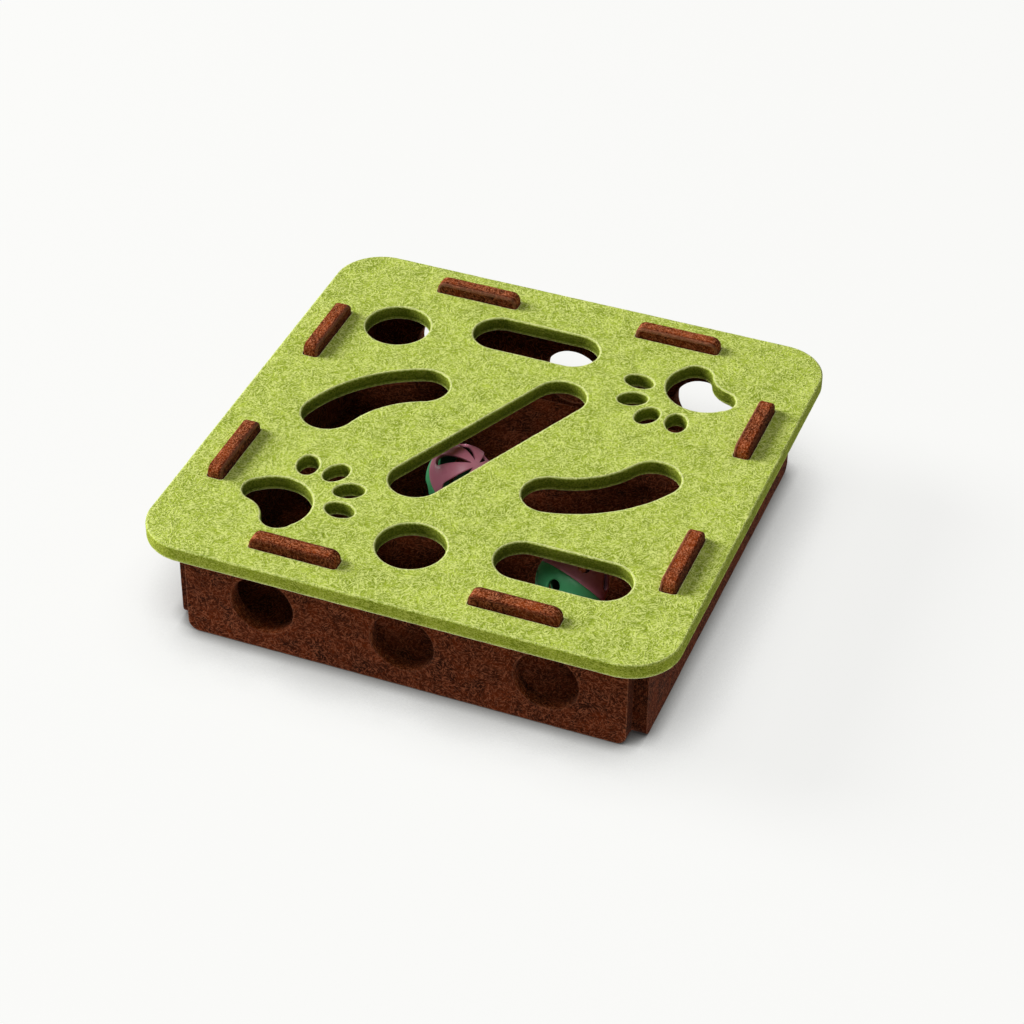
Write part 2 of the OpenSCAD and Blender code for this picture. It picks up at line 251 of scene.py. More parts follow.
def rounded_path(corners):
    """Closed path through (x, y, radius) corners: each corner is an arc that touches both of its sides."""
    points = np.array([corner[:2] for corner in corners])
    ways = np.roll(points, -1, 0) - points
    ways /= np.linalg.norm(ways, axis=1)[:, None]
    parts = []
    for i, corner in enumerate(corners):
        before, after = ways[i - 1], ways[i]
        heading = math.degrees(math.atan2(before[1], before[0]))
        turn = math.degrees(math.atan2(before[0] * after[1] - before[1] * after[0], before @ after))
        side = math.copysign(1.0, turn)
        start = points[i] - before * corner[2] * math.tan(math.radians(abs(turn)) / 2.0)
        centre = start + side * corner[2] * np.array([-before[1], before[0]])
        parts.append(arc(centre, corner[2], heading - side * 90.0, heading - side * 90.0 + turn))
    return closed_path(parts)


def rectangle(width, depth, corner):
    """Rectangle about the origin with four round corners."""
    half_w, half_d = width / 2.0, depth / 2.0
    return rounded_path([(-half_w, -half_d, corner), (half_w, -half_d, corner),
                         (half_w, half_d, corner), (-half_w, half_d, corner)])


def straight_slot(length, width):
    """Slot with round ends: a rectangle whose corner arcs stop just short of half its width."""
    return rectangle(length, width, width / 2.0 - END_GAP)


def placed(path, at, turn=0.0):
    """Path turned about the origin by an angle in degrees, and then moved."""
    c, s = math.cos(math.radians(turn)), math.sin(math.radians(turn))
    return path @ np.array([[c, s], [-s, c]]) + np.array(at)


def curved_slot():
    """Band of even width along an arc, with round ends: two arcs about one centre and two half circles."""
    radius = CURVE_SPAN ** 2 / (8.0 * CURVE_RISE) + CURVE_RISE / 2.0
    half = math.degrees(math.asin(CURVE_SPAN / (2.0 * radius)))
    centre = np.array([0.0, CURVE_RISE - radius])
    low, high = 90.0 - half, 90.0 + half
    end_r = CURVE_WIDTH / 2.0
    first, last = (centre + radius * np.array([math.cos(angle), math.sin(angle)])
                   for angle in (math.radians(low), math.radians(high)))
    return closed_path([
        arc(centre, radius + end_r, low, high),
        arc(last, end_r, high, high + 180.0),
        arc(centre, radius - end_r, high, low),
        arc(first, end_r, low + 180.0, low + 360.0),
    ])


def toe():
    """Oval along Y of two end arcs and two side arcs, each touching the next where their centres line up."""
    end_x = TOE_LENGTH / 2.0 - TOE_END_R
    side_r = (end_x ** 2 + (TOE_WIDTH / 2.0) ** 2 - TOE_END_R ** 2) / (TOE_WIDTH - 2.0 * TOE_END_R)
    side_y = side_r - TOE_WIDTH / 2.0
    meet = math.degrees(math.atan2(side_y, end_x))
    oval = closed_path([
        arc((0.0, side_y), side_r, 180.0 + meet, 360.0 - meet),
        arc((end_x, 0.0), TOE_END_R, -meet, meet),
        arc((0.0, -side_y), side_r, meet, 180.0 - meet),
        arc((-end_x, 0.0), TOE_END_R, 180.0 - meet, 180.0 + meet),
    ])
    return placed(oval, (0.0, 0.0), 90.0)


def pad():
    """Paw pad: a broad front arc, a round lobe at each rear corner, and a notch arc that touches both."""
    front = np.array([0.0, PAD_TOP - PAD_FRONT_R])
    lobe = np.array(PAD_LOBE_AT)
    notch_r = (PAD_NOTCH ** 2 + lobe[0] ** 2 - PAD_LOBE_R ** 2) / (2.0 * (PAD_LOBE_R - PAD_NOTCH))
    notch = np.array([0.0, lobe[1] - PAD_NOTCH - notch_r])
    touch = math.degrees(math.atan2(lobe[1] - notch[1], lobe[0]))
    apart = np.linalg.norm(lobe - front)
    along = (PAD_FRONT_R ** 2 - PAD_LOBE_R ** 2 + apart ** 2) / (2.0 * apart)
    way = (lobe - front) / apart
    aside = math.sqrt(PAD_FRONT_R ** 2 - along ** 2) * np.array([-way[1], way[0]])
    meet = front + along * way + aside
    on_front = math.degrees(math.atan2(meet[1] - front[1], meet[0]))
    on_lobe = math.degrees(math.atan2(meet[1] - lobe[1], meet[0] - lobe[0]))
    mirrored = lobe * np.array([-1.0, 1.0])
    return closed_path([
        arc(lobe, PAD_LOBE_R, 180.0 + touch, 360.0 + on_lobe),
        arc(front, PAD_FRONT_R, on_front, 180.0 - on_front),
        arc(mirrored, PAD_LOBE_R, 180.0 - on_lobe, 360.0 - touch),
        arc(notch, notch_r, 180.0 - touch, touch),
    ])


def lid_cuts():
    """The lid's outline, cut-outs and tab slots, with the felt on their left, as (path, edge radius, shade).

    The shade is how much a cut side gets of the painted shade of a sheltered one.
    """
    holes = [placed(circle(ROUND_R), at) for at in ROUND_AT]
    holes += [placed(straight_slot(SLOT_LENGTH, SLOT_WIDTH), at) for at in SLOT_AT]
    holes.append(placed(straight_slot(DIAGONAL_LENGTH, DIAGONAL_WIDTH), DIAGONAL_AT, DIAGONAL_TURN))
    holes += [placed(curved_slot(), at, turn) for at, turn in CURVE_AT]
    for at, turn in PAW_AT:
        holes.append(placed(pad(), at, turn))
        holes += [placed(placed(toe(), toe_at, toe_turn), at, turn) for toe_at, toe_turn in TOES]
    cuts = [(rectangle(LID_SIZE, LID_SIZE, LID_CORNER), LID_EDGE_R, 0.0)]
    cuts += [(hole[::-1], LID_EDGE_R, 1.0) for hole in holes]
    slot = rectangle(TAB_LENGTH + 2.0 * TAB_FIT, BOARD + 2.0 * TAB_FIT, TAB_EDGE_R + TAB_FIT)[::-1]
    line = WALL_OUT - BOARD / 2.0
    for turn in (0.0, 90.0, 180.0, 270.0):
        for side in (-1.0, 1.0):
            cut = placed(placed(slot, (side * TAB_PITCH / 2.0, -line)), (0.0, 0.0), turn)
            cuts.append((cut, SLOT_EDGE_R, 1.0))
    return cuts


def wall_cuts(length, hole_places):
    """A wall's outline and round holes, upright on its foot at height 0, as (path, edge radius, shade).

    Inside the lid's thickness the radius grows from the wall's own to the softer one of the handled tabs, and
    the cut side's painted shade gives way to the tone of an open cut side.
    """
    half = length / 2.0
    corners = [(-half, 0.0, FOOT_CORNER), (half, 0.0, FOOT_CORNER), (half, LID_UNDER, SHARP_CORNER)]
    for middle in (TAB_PITCH / 2.0, -TAB_PITCH / 2.0):
        right, left = middle + TAB_LENGTH / 2.0, middle - TAB_LENGTH / 2.0
        corners += [(right, LID_UNDER, ROOT_CORNER), (right, TAB_TOP, TAB_CORNER),
                    (left, TAB_TOP, TAB_CORNER), (left, LID_UNDER, ROOT_CORNER)]
    corners.append((-half, LID_UNDER, SHARP_CORNER))
    outline = rounded_path(corners)
    open_share = np.interp(outline[:, 1], [LID_UNDER, LID_UNDER + BOARD / 2.0], [0.0, 1.0])
    radii = WALL_END_R + (TAB_EDGE_R - WALL_END_R) * open_share
    hole = circle(WALL_HOLE_R)[::-1]
    cuts = [(outline, radii, 1.0 - open_share)]
    return cuts + [(placed(hole, (x, WALL_HOLE_Z)), WALL_EDGE_R, 1.0) for x in hole_places]


# Meshes

def make_piece(name, points, faces, body):
    """Mesh object from points in millimetres, which rides on a body."""
    mesh = bpy.data.meshes.new(name)
    mesh.from_pydata((np.asarray(points) * MM).tolist(), [], faces)
    mesh.polygons.foreach_set("use_smooth", np.ones(len(mesh.polygons), bool))
    piece = bpy.data.objects.new(name, mesh)
    bpy.context.scene.collection.objects.link(piece)
    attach(piece, body)
    return piece


def store(piece, label, values):
    """Keeps one number for each vertex as an attribute that the material reads."""
    attribute = piece.data.attributes.new(label, "FLOAT", "POINT")
    attribute.data.foreach_set("value", values.astype(np.float32))


def grid_quads(rows, columns, first, closed):
    """Corners of a grid's quads, whose points are numbered row by row from the first."""
    row, column = np.meshgrid(np.arange(rows - 1), np.arange(columns - (not closed)), indexing="ij")
    right = (column + 1) % columns
    here = first + row * columns
    there = here + columns
    return np.stack([here + column, there + column, there + right, here + right], 2).reshape(-1, 4)


def waves(points, lengths, rng):
    """Smooth random field from 0 to 1: plane waves with random directions, phases and lengths in a range."""
    turns = rng.uniform(0.0, FULL_TURN, SINK_WAVES)
    phases = rng.uniform(0.0, FULL_TURN, SINK_WAVES)
    sizes = rng.uniform(lengths[0], lengths[1], SINK_WAVES)
    total = np.zeros(len(points))
    for turn, phase, size in zip(turns, phases, sizes):
        along = points[:, 0] * math.cos(turn) + points[:, 1] * math.sin(turn)
        total += np.sin(FULL_TURN * along / size + phase)
    return np.clip(0.5 + total / (2.0 * math.sqrt(2.0 * SINK_WAVES)), 0.0, 1.0)


def in_parts(points):
    """Points in parts that are small enough to be set against all the points of the loops at once."""
    return np.array_split(points, max(1, len(points) // POINTS_AT_ONCE))


def inside(points, loops):
    """True for each point in the felt, which has an odd number of loop edges on its right."""
    starts = np.concatenate(loops)
    ends = np.concatenate([np.roll(loop, -1, 0) for loop in loops])
    rise = ends[:, 1] - starts[:, 1]
    slope = (ends[:, 0] - starts[:, 0]) / np.where(np.abs(rise) < LEVEL_RISE, LEVEL_RISE, rise)
    found = []
    for part in in_parts(points):
        x, y = part[:, :1], part[:, 1:]
        spans = (starts[:, 1] <= y) != (ends[:, 1] <= y)
        right = x < starts[:, 0] + (y - starts[:, 1]) * slope
        found.append((spans & right).sum(1) % 2 == 1)
    return np.concatenate(found)


def far_from(points, others, distance):
    """True for each point that lies further than a distance from all the others."""
    found = [((part[:, None, :] - others) ** 2).sum(2).min(1) > distance ** 2 for part in in_parts(points)]
    return np.concatenate(found)


def edge_strip(loop, radius, shade, outline, rng):
    """Strip along one cut, as a grid of points with a row for each point of its profile, and their painted
    shade.

    The profile is a flat lip, a quarter circle down to the cut side, the side, and the same back to the other
    face. The circle's radius may change along the cut. The side is ragged by waves along the cut, inwards
    only. In an opening the painted shade deepens from the upper face to the lower one, and the lower edge is
    in full painted shade.
    """
    radii = np.broadcast_to(radius, len(loop))
    quarter = np.radians(np.linspace(0.0, 90.0, QUARTER_POINTS))
    step_in = np.concatenate([[1.0], 1.0 - np.sin(quarter)])[:, None] * radii
    step_in += np.array([RIM_FACE] + [0.0] * QUARTER_POINTS)[:, None]
    step_down = np.concatenate([[0.0], 1.0 - np.cos(quarter)])[:, None] * radii
    side = np.array(SIDE_SHARES)[:, None] * BOARD * np.ones(len(loop))
    height = np.concatenate([BOARD - step_down, side, step_down[::-1]])
    depth_in = np.concatenate([step_in, 0.0 * side, step_in[::-1]])

    ahead = np.roll(loop, -1, 0) - loop
    steps = np.linalg.norm(ahead, axis=1)
    ahead /= steps[:, None]
    tangent = ahead + np.roll(ahead, 1, 0)
    tangent /= np.linalg.norm(tangent, axis=1)[:, None]
    inward = np.stack([-tangent[:, 1], tangent[:, 0]], 1)

    share = np.concatenate([[0.0], np.cumsum(steps)[:-1]]) / steps.sum()
    counts = rng.integers(RAG_LEAST_TURNS, int(steps.sum() / RAG_SHORTEST), RAG_WAVES)
    phases = rng.uniform(0.0, FULL_TURN, RAG_WAVES)
    slants = rng.uniform(-RAG_SLANT, RAG_SLANT, RAG_WAVES)
    rag = np.zeros(height.shape)
    for count, phase, slant in zip(counts, phases, slants):
        rag += np.sin(FULL_TURN * count * share + phase + slant * height)
    rag = RAGGED * np.clip(0.5 + rag / RAG_DIVISOR, 0.0, 1.0) * (RIM_COUNTS[:, None] > 0.0)

    flat = loop + (depth_in + rag)[:, :, None] * inward
    # Painted shade of the cut side: in an opening it deepens downwards, and the lower edge has it in full
    deepening = np.ones_like(height)
    if not outline:
        deepening = PAINTED_SHADE_TOP + (1.0 - PAINTED_SHADE_TOP) * (1.0 - height / BOARD)
    painted_shade = np.maximum(shade * deepening, height < LOWER_EDGE * radii)
    return np.concatenate([flat, height[:, :, None]], 2), painted_shade


def face_net(lips):
    """Even points between the lips, and a Delaunay net over lips and points, as (points, triangles).

    The triangles count the lips' points first, in their order, and then the even ones.
    """
    lip_points = np.concatenate(lips)
    low, high = lip_points.min(0), lip_points.max(0)
    across = np.arange(low[0], high[0], FACE_STEP)
    upward = np.arange(low[1], high[1], FACE_STEP * math.sqrt(0.75))
    grid_x, grid_y = np.meshgrid(across, upward)
    grid_x = grid_x + np.where(np.arange(len(upward)) % 2 == 1, FACE_STEP / 2.0, 0.0)[:, None]
    grid = np.stack([grid_x.ravel(), grid_y.ravel()], 1)
    grid = grid[inside(grid, lips)]
    grid = grid[far_from(grid, lip_points, FACE_CLEAR * FACE_STEP)]

    edges, begin = [], 0
    for lip in lips:
        indices = np.arange(begin, begin + len(lip))
        edges.append(np.stack([indices, np.roll(indices, -1)], 1))
        begin += len(lip)
    points = np.concatenate([lip_points, grid])
    corners = [Vector(point) for point in points.tolist()]
    net = geometry.delaunay_2d_cdt(corners, np.concatenate(edges).tolist(), [], 1, NET_TOLERANCE)
    origin = np.array([sources[0] for sources in net[3]])
    triangles = origin[np.array(net[2])]
    triangles = triangles[inside(points[triangles].mean(1), lips)]
    corner = points[triangles]
    sides = corner[:, 1:] - corner[:, :1]
    clockwise = sides[:, 0, 0] * sides[:, 1, 1] < sides[:, 0, 1] * sides[:, 1, 0]
    triangles[clockwise] = triangles[clockwise][:, ::-1]
    return grid, triangles


def felt_board(name, cuts, place, body, node, seed):
    """Board of felt with soft edges.

    A strip runs along each cut, and a net of triangles fills both faces between the strips' lips. The faces
    sink by a smooth random field, inwards only.
    """
    rng = np.random.default_rng(seed)
    rows = len(RIM_COUNTS)
    strips, quads, lips, tops, unders, rims, painted_shades = [], [], [], [], [], [], []
    first = 0
    for i, (loop, radius, shade) in enumerate(cuts):
        strip, painted_shade = edge_strip(loop, radius, shade, i == 0, rng)
        columns = len(loop)
        strips.append(strip.reshape(-1, 3))
        quads.append(grid_quads(rows, columns, first, True))
        lips.append(strip[0, :, :2])
        tops.append(first + np.arange(columns))
        unders.append(first + (rows - 1) * columns + np.arange(columns))
        rims.append(np.repeat(RIM_COUNTS, columns))
        painted_shades.append(painted_shade.ravel())
        first += rows * columns
    grid, triangles = face_net(lips)

    count = len(grid)
    top_index = np.concatenate(tops + [first + np.arange(count)])
    under_index = np.concatenate(unders + [first + count + np.arange(count)])
    flat_grid = [np.column_stack([grid, np.full(count, height)]) for height in (BOARD, 0.0)]
    board = np.concatenate(strips + flat_grid)
    depth = board[:, 2] / BOARD
    sink_top, sink_under = (
        SINK * (waves(board, SINK_LONG, rng) + SINK_SHORT_SHARE * waves(board, SINK_SHORT, rng))
        for _ in range(2))
    shaped = board.copy()
    shaped[:, 2] += sink_under * (1.0 - depth) - sink_top * depth

    faces = np.concatenate(quads).tolist()
    faces += top_index[triangles].tolist()
    faces += under_index[triangles[:, ::-1]].tolist()
    piece = make_piece(name, place(shaped), faces, body)
    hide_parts(node)
    felt_place = piece.data.attributes.new("felt_place", "FLOAT_VECTOR", "POINT")
    in_pattern = (board + [0.0, 0.0, PATTERN_SHIFT * seed]) * MM
    felt_place.data.foreach_set("vector", in_pattern.astype(np.float32).ravel())
    on_faces = [np.zeros(2 * count)]
    store(piece, "rim", np.concatenate(rims + on_faces))
    # Painted shade of the cut sides, for the material
    store(piece, "painted_shade", np.concatenate(painted_shades + on_faces))
    return piece


def flat_at(height):
    """Placing of a board that lies flat, with its underside at a height."""
    return lambda p: p + np.array([0.0, 0.0, height])


def upright(turn):
    """Placing of a wall: its length to X, its height to Z and its outer face to -Y, then turned about Z."""
    c, s = math.cos(math.radians(turn)), math.sin(math.radians(turn))

    def place(p):
        x, y = p[:, 0], -WALL_IN - p[:, 2]
        return np.stack([c * x - s * y, s * x + c * y, p[:, 1]], 1)
    return place


def opening_edge():
    """Outline of one teardrop opening on the unit ball, and the border point that each of its points faces.

    The teardrop is two great circles from its tip and the small circle that touches both. The border runs
    from the pole down one side of the sector, along the equator and up the other side. It is given as shares
    of the way down and as bearings.
    """
    tip, reach, spread = (math.radians(a) for a in (OPENING_TIP, OPENING_REACH, OPENING_SPREAD))
    end_r = math.asin(math.sin(reach) * math.sin(spread))
    join = math.acos(math.cos(reach) / math.cos(end_r))
    turn = math.pi - math.acos(math.tan(end_r) / math.tan(reach))
    side = np.linspace(0.0, join, FLANK_POINTS)
    bend = np.linspace(turn, -turn, BEND_POINTS)[1:-1]
    to_tip = np.array([math.sin(tip), 0.0, math.cos(tip)])
    away = np.array([math.cos(tip), 0.0, -math.sin(tip)])
    across = np.array([0.0, 1.0, 0.0])
    flanks = []
    for hand in (1.0, -1.0):
        way = math.cos(spread) * away + hand * math.sin(spread) * across
        flanks.append(np.cos(side)[:, None] * to_tip + np.sin(side)[:, None] * way)
    centre = math.cos(reach) * to_tip + math.sin(reach) * away
    onward = -math.sin(reach) * to_tip + math.cos(reach) * away
    outward = np.cos(bend)[:, None] * onward + np.sin(bend)[:, None] * across
    round_end = math.cos(end_r) * centre + math.sin(end_r) * outward
    edge = np.concatenate([flanks[0], round_end, flanks[1][::-1][:-1]])

    down = np.concatenate([side / join, np.ones(len(bend)), (side / join)[::-1][:-1]])
    sweep = np.linspace(1.0, -1.0, BEND_POINTS)[1:-1]
    bearing = np.concatenate([np.ones(len(side)), sweep, -np.ones(len(side) - 1)]) * math.pi / OPENINGS
    return edge, down, bearing


def ball_sector(rim_profile, inner_limit):
    """One opening's sector of a half ball, and its part of the rim, as two grids of points.

    The sector's grid runs round the opening in one direction, and from the border over the outer surface,
    round the opening's edge, through the wall and back over the inner surface in the other. The rim is a
    profile of radius and height carried along the equator.
    """
    edge, down, bearing = opening_edge()
    outer_limit = 90.0 - math.degrees(SEAM_EDGE / BALL_R)
    bevel = OPENING_EDGE_R * (1.0 - math.sqrt(0.5))
    rows = [(share, None, BALL_R, outer_limit) for share in OUTER_SHARES]
    rows += [(None, OPENING_EDGE_R, BALL_R, outer_limit),
             (None, bevel, BALL_R - bevel, outer_limit),
             (None, 0.0, BALL_R - OPENING_EDGE_R, outer_limit),
             (None, 0.0, BALL_IN_R + OPENING_EDGE_R, inner_limit),
             (None, bevel, BALL_IN_R + bevel, inner_limit),
             (None, OPENING_EDGE_R, BALL_IN_R, inner_limit)]
    rows += [(share, None, BALL_IN_R, inner_limit) for share in INNER_SHARES]
    sheets = []
    for share, offset, radius, limit in rows:
        polar = down * math.radians(limit)
        level = np.sin(polar)
        border = np.stack([level * np.cos(bearing), level * np.sin(bearing), np.cos(polar)], 1)
        width = np.linalg.norm(border - edge, axis=1) * BALL_R
        blend = (np.full(len(edge), share) if offset is None else offset / width)[:, None]
        way = (1.0 - blend) * edge + blend * border
        sheets.append(radius * way / np.linalg.norm(way, axis=1)[:, None])
    sector = np.stack(sheets)

    seam_columns = np.flatnonzero(down > AT_EQUATOR)
    seam = np.array(rim_profile)
    angles = bearing[seam_columns]
    heights = np.broadcast_to(seam[:, 1:], (len(seam), len(angles)))
    rim = np.stack([seam[:, :1] * np.cos(angles), seam[:, :1] * np.sin(angles), heights], 2)
    rim[0] = sector[0][seam_columns]
    rim[-1] = sector[-1][seam_columns]
    return sector, rim


def about_z(angle):
    """Matrix of a turn about Z by an angle in radians."""
    c, s = math.cos(angle), math.sin(angle)
    return np.array([[c, -s, 0.0], [s, c, 0.0], [0.0, 0.0, 1.0]])


def half_ball(name, ball, up, spin, rim_profile, inner_limit, body, node):
    """Half of a hollow ball with teardrop openings: a sector and rim, repeated round the pole and merged."""
    sector, rim = ball_sector(rim_profile, inner_limit)
    points, faces, begin = [], [], 0
    for i in range(OPENINGS):
        turned = about_z(math.radians(spin + i * 360.0 / OPENINGS)).T
        for sheet, closed in ((sector, True), (rim, False)):
            rows, columns = sheet.shape[:2]
            quads = grid_quads(rows, columns, begin, closed)
            faces += quads[:, [0, 3, 2, 1]].tolist()
            points.append(sheet.reshape(-1, 3) @ turned)
            begin += rows * columns
    shell = np.concatenate(points) * [1.0, 1.0, up]
    lean = math.radians(ball["lean"])
    c, s = math.cos(lean), math.sin(lean)
    over = np.array([[c, 0.0, s], [0.0, 1.0, 0.0], [-s, 0.0, c]])
    centre = np.array([ball["at"][0], ball["at"][1], BALL_Z])
    world = shell @ (about_z(math.radians(ball["heading"])) @ over).T + centre
    piece = make_piece(name, world, faces, body)
    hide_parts(node)

    merged = bmesh.new()
    merged.from_mesh(piece.data)
    bmesh.ops.remove_doubles(merged, verts=merged.verts, dist=MERGE * MM)
    bmesh.ops.dissolve_degenerate(merged, edges=merged.edges, dist=DEGENERATE * MM)
    bmesh.ops.recalc_face_normals(merged, faces=merged.faces)
    merged.to_mesh(piece.data)
    merged.free()
    places = np.empty(3 * len(piece.data.vertices))
    piece.data.vertices.foreach_get("co", places)
    from_centre = np.linalg.norm(places.reshape(-1, 3) / MM - centre, axis=1)
    store(piece, "hollow", np.clip((BALL_R - from_centre) / (BALL_R - BALL_IN_R), 0.0, 1.0))
    return piece


# Materials

def linear(code):
    """Linear colour with full alpha from an sRGB hex code."""
    parts = [int(code[i:i + 2], 16) / 255.0 for i in (1, 3, 5)]
    return tuple(c / 12.92 if c <= 0.04045 else ((c + 0.055) / 1.055) ** 2.4 for c in parts) + (1.0,)


def per_metre(size):
    """Texture scale that gives a pattern the size in millimetres."""
    return 1.0 / (size * MM)


def add(tree, kind, values=(), links=(), **settings):
    """Adds a node: settings are its properties, values set inputs, and links are (input, node, output)."""
    made = tree.nodes.new(kind)
    for name, value in settings.items():
        setattr(made, name, value)
    for socket, value in dict(values).items():
        made.inputs[socket].default_value = value
    for socket, source, output in links:
        tree.links.new(source.outputs[output], made.inputs[socket])
    return made


def new_material(name):
    """Empty node material with its output, as (material, tree, output)."""
    material = bpy.data.materials.new(name)
    material.use_nodes = True
    tree = material.node_tree
    tree.nodes.clear()
    return material, tree, add(tree, "ShaderNodeOutputMaterial")


def felt(name, tones, mottle, sparse, cut_tone_and_painted_light_gain, painted_shade_gain, fray_and_painted_sheen_share):
    """Needle-punched polyester felt, pressed into a stiff board and die-cut.

    The eye sees short fibres, a few millimetres long, that cross in every direction over a darker ground,
    small dark pits between them, and soft patches where the web is denser. A thin pale line of frayed fibres
    and painted sheen runs round the openings and along the lower edges. The cut sides, where the fibres stand
    on end, have a tone of their own with painted light and shade: painted shade where they are sheltered,
    deeper down in the openings. The gains are what the cut sides keep of red, green and blue. Each layer of
    fibres is a stretched noise, turned by an angle of its own in every cell of a mosaic.
    The fibres are drawn about ten times as thick as real ones, to show in a picture of the whole box.
    """
    deep, body, pale, fray_and_painted_sheen_tone = (linear(tone) for tone in tones)
    material, tree, output = new_material(name)
    place = add(tree, ATTRIBUTE, attribute_name="felt_place")
    rim = add(tree, ATTRIBUTE, attribute_name="rim")
    # Painted shade of the cut sides, deeper down in the openings
    painted_shade = add(tree, ATTRIBUTE, attribute_name="painted_shade")

    # Layers of curled fibres
    curl = add(tree, NOISE, {"Scale": per_metre(CURL_SIZE), "Detail": 1.0}, [("Vector", place, "Vector")])
    bend = add(tree, VECTOR, {1: (CURL * MM, CURL * MM, 0.0)}, [(0, curl, "Color")], operation="MULTIPLY")
    bent = add(tree, VECTOR, (), [(0, place, "Vector"), (1, bend, "Vector")], operation="ADD")
    strands = None
    for cell, length, width, shift in FIBRE_LAYERS:
        moved = add(tree, VECTOR, {1: (shift, -shift, shift)}, [(0, bent, "Vector")], operation="ADD")
        mosaic = add(tree, "ShaderNodeTexVoronoi", {"Scale": per_metre(cell)}, [("Vector", moved, "Vector")])
        angle = add(tree, MATH, {1: FIBRE_TURNS}, [(0, mosaic, "Color")], operation="MULTIPLY")
        turned = add(tree, "ShaderNodeVectorRotate", (),
                     [("Vector", moved, "Vector"), ("Angle", angle, "Value")], rotation_type="Z_AXIS")
        fibre = [per_metre(size) for size in (length, width, width)]
        drawn = add(tree, "ShaderNodeMapping", {"Scale": fibre}, [("Vector", turned, "Vector")])
        grain = add(tree, NOISE, {"Scale": 1.0, "Detail": 1.0}, [("Vector", drawn, "Vector")])
        strand = add(tree, RANGE, {"From Min": sparse, "From Max": sparse + FIBRE_SOFT},
                     [("Value", grain, "Fac")], **SMOOTH)
        if strands is None:
            strands = strand
        else:
            strands = add(tree, MATH, (), [(0, strands, 0), (1, strand, 0)], operation="MAXIMUM")

    # Ground with denser patches, fibres over it and pits between them
    pits = add(tree, NOISE, {"Scale": per_metre(PIT), "Detail": 2.0, "Roughness": 0.6},
               [("Vector", place, "Vector")])
    pit = add(tree, RANGE, {"From Min": PIT_SHOWS[0], "From Max": PIT_SHOWS[1]}, [("Value", pits, "Fac")],
              **SMOOTH)
    web = add(tree, NOISE, {"Scale": per_metre(WEB), "Detail": 4.0, "Roughness": 0.6, "Distortion": 0.6},
              [("Vector", place, "Vector")])
    dense = add(tree, RANGE, {"From Min": 0.5 - mottle, "From Max": 0.5 + mottle, "To Max": WEB_COVER},
                [("Value", web, "Fac")])
    ground = add(tree, MIX, {MIX_A: body, MIX_B: deep}, [(0, dense, "Result")], **COLOURS)
    strand_share = add(tree, MATH, {1: FIBRE_COVER}, [(0, strands, 0)], operation="MULTIPLY")
    matted = add(tree, MIX, {MIX_B: pale}, [(0, strand_share, 0), (MIX_A, ground, MIX_RESULT)], **COLOURS)
    pit_share = add(tree, MATH, {1: PIT_COVER}, [(0, pit, "Result")], operation="MULTIPLY")
    pitted = add(tree, MIX, {MIX_B: deep}, [(0, pit_share, 0), (MIX_A, matted, MIX_RESULT)], **COLOURS)

    # Cut sides, with their own tone, painted light and painted shade, and the frayed line with painted sheen
    # along the edges
    gain = add(tree, MIX, {MIX_A: cut_tone_and_painted_light_gain + (1.0,), MIX_B: painted_shade_gain + (1.0,)}, [(0, painted_shade, "Fac")],
               **COLOURS)
    cut = add(tree, RANGE, {"From Min": CUT_COMES[0], "From Max": CUT_COMES[1]}, [("Value", rim, "Fac")],
              **SMOOTH)
    sided = add(tree, MIX, (), [(0, cut, "Result"), (MIX_A, pitted, MIX_RESULT), (MIX_B, gain, MIX_RESULT)],
                blend_type="MULTIPLY", **COLOURS)
    fray_and_painted_sheen = add(tree, RANGE, {"To Min": OPEN_FRAY_AND_PAINTED_SHEEN * fray_and_painted_sheen_share, "To Max": fray_and_painted_sheen_share},
               [("Value", painted_shade, "Fac")])
    rising = add(tree, RANGE, {"From Min": FRAY_AND_PAINTED_SHEEN_COMES[0], "From Max": FRAY_AND_PAINTED_SHEEN_COMES[1]}, [("Value", rim, "Fac")],
                 **SMOOTH)
    falling = add(tree, RANGE,
                  {"From Min": FRAY_AND_PAINTED_SHEEN_GOES[0], "From Max": FRAY_AND_PAINTED_SHEEN_GOES[1], "To Min": 1.0, "To Max": 0.0},
                  [("Value", rim, "Fac")], **SMOOTH)
    band = add(tree, MATH, (), [(0, rising, "Result"), (1, falling, "Result")], operation="MULTIPLY")
    line = add(tree, MATH, (), [(0, band, "Value"), (1, fray_and_painted_sheen, "Result")], operation="MULTIPLY")
    colour = add(tree, MIX, {MIX_B: fray_and_painted_sheen_tone}, [(0, line, 0), (MIX_A, sided, MIX_RESULT)], **COLOURS)

    relief = add(tree, MATH, (), [(0, strands, 0), (1, pit, "Result")], operation="SUBTRACT")
    bump = add(tree, BUMP, {"Strength": 0.6, "Distance": RELIEF * MM}, [("Height", relief, 0)])
    fuzzy = {"Roughness": 0.95, "Specular IOR Level": 0.06, "Sheen Weight": 0.02, "Sheen Roughness": 0.4}
    shader = add(tree, PRINCIPLED, fuzzy, [("Base Color", colour, MIX_RESULT), ("Normal", bump, "Normal")])
    tree.links.new(shader.outputs["BSDF"], output.inputs["Surface"])
    return material


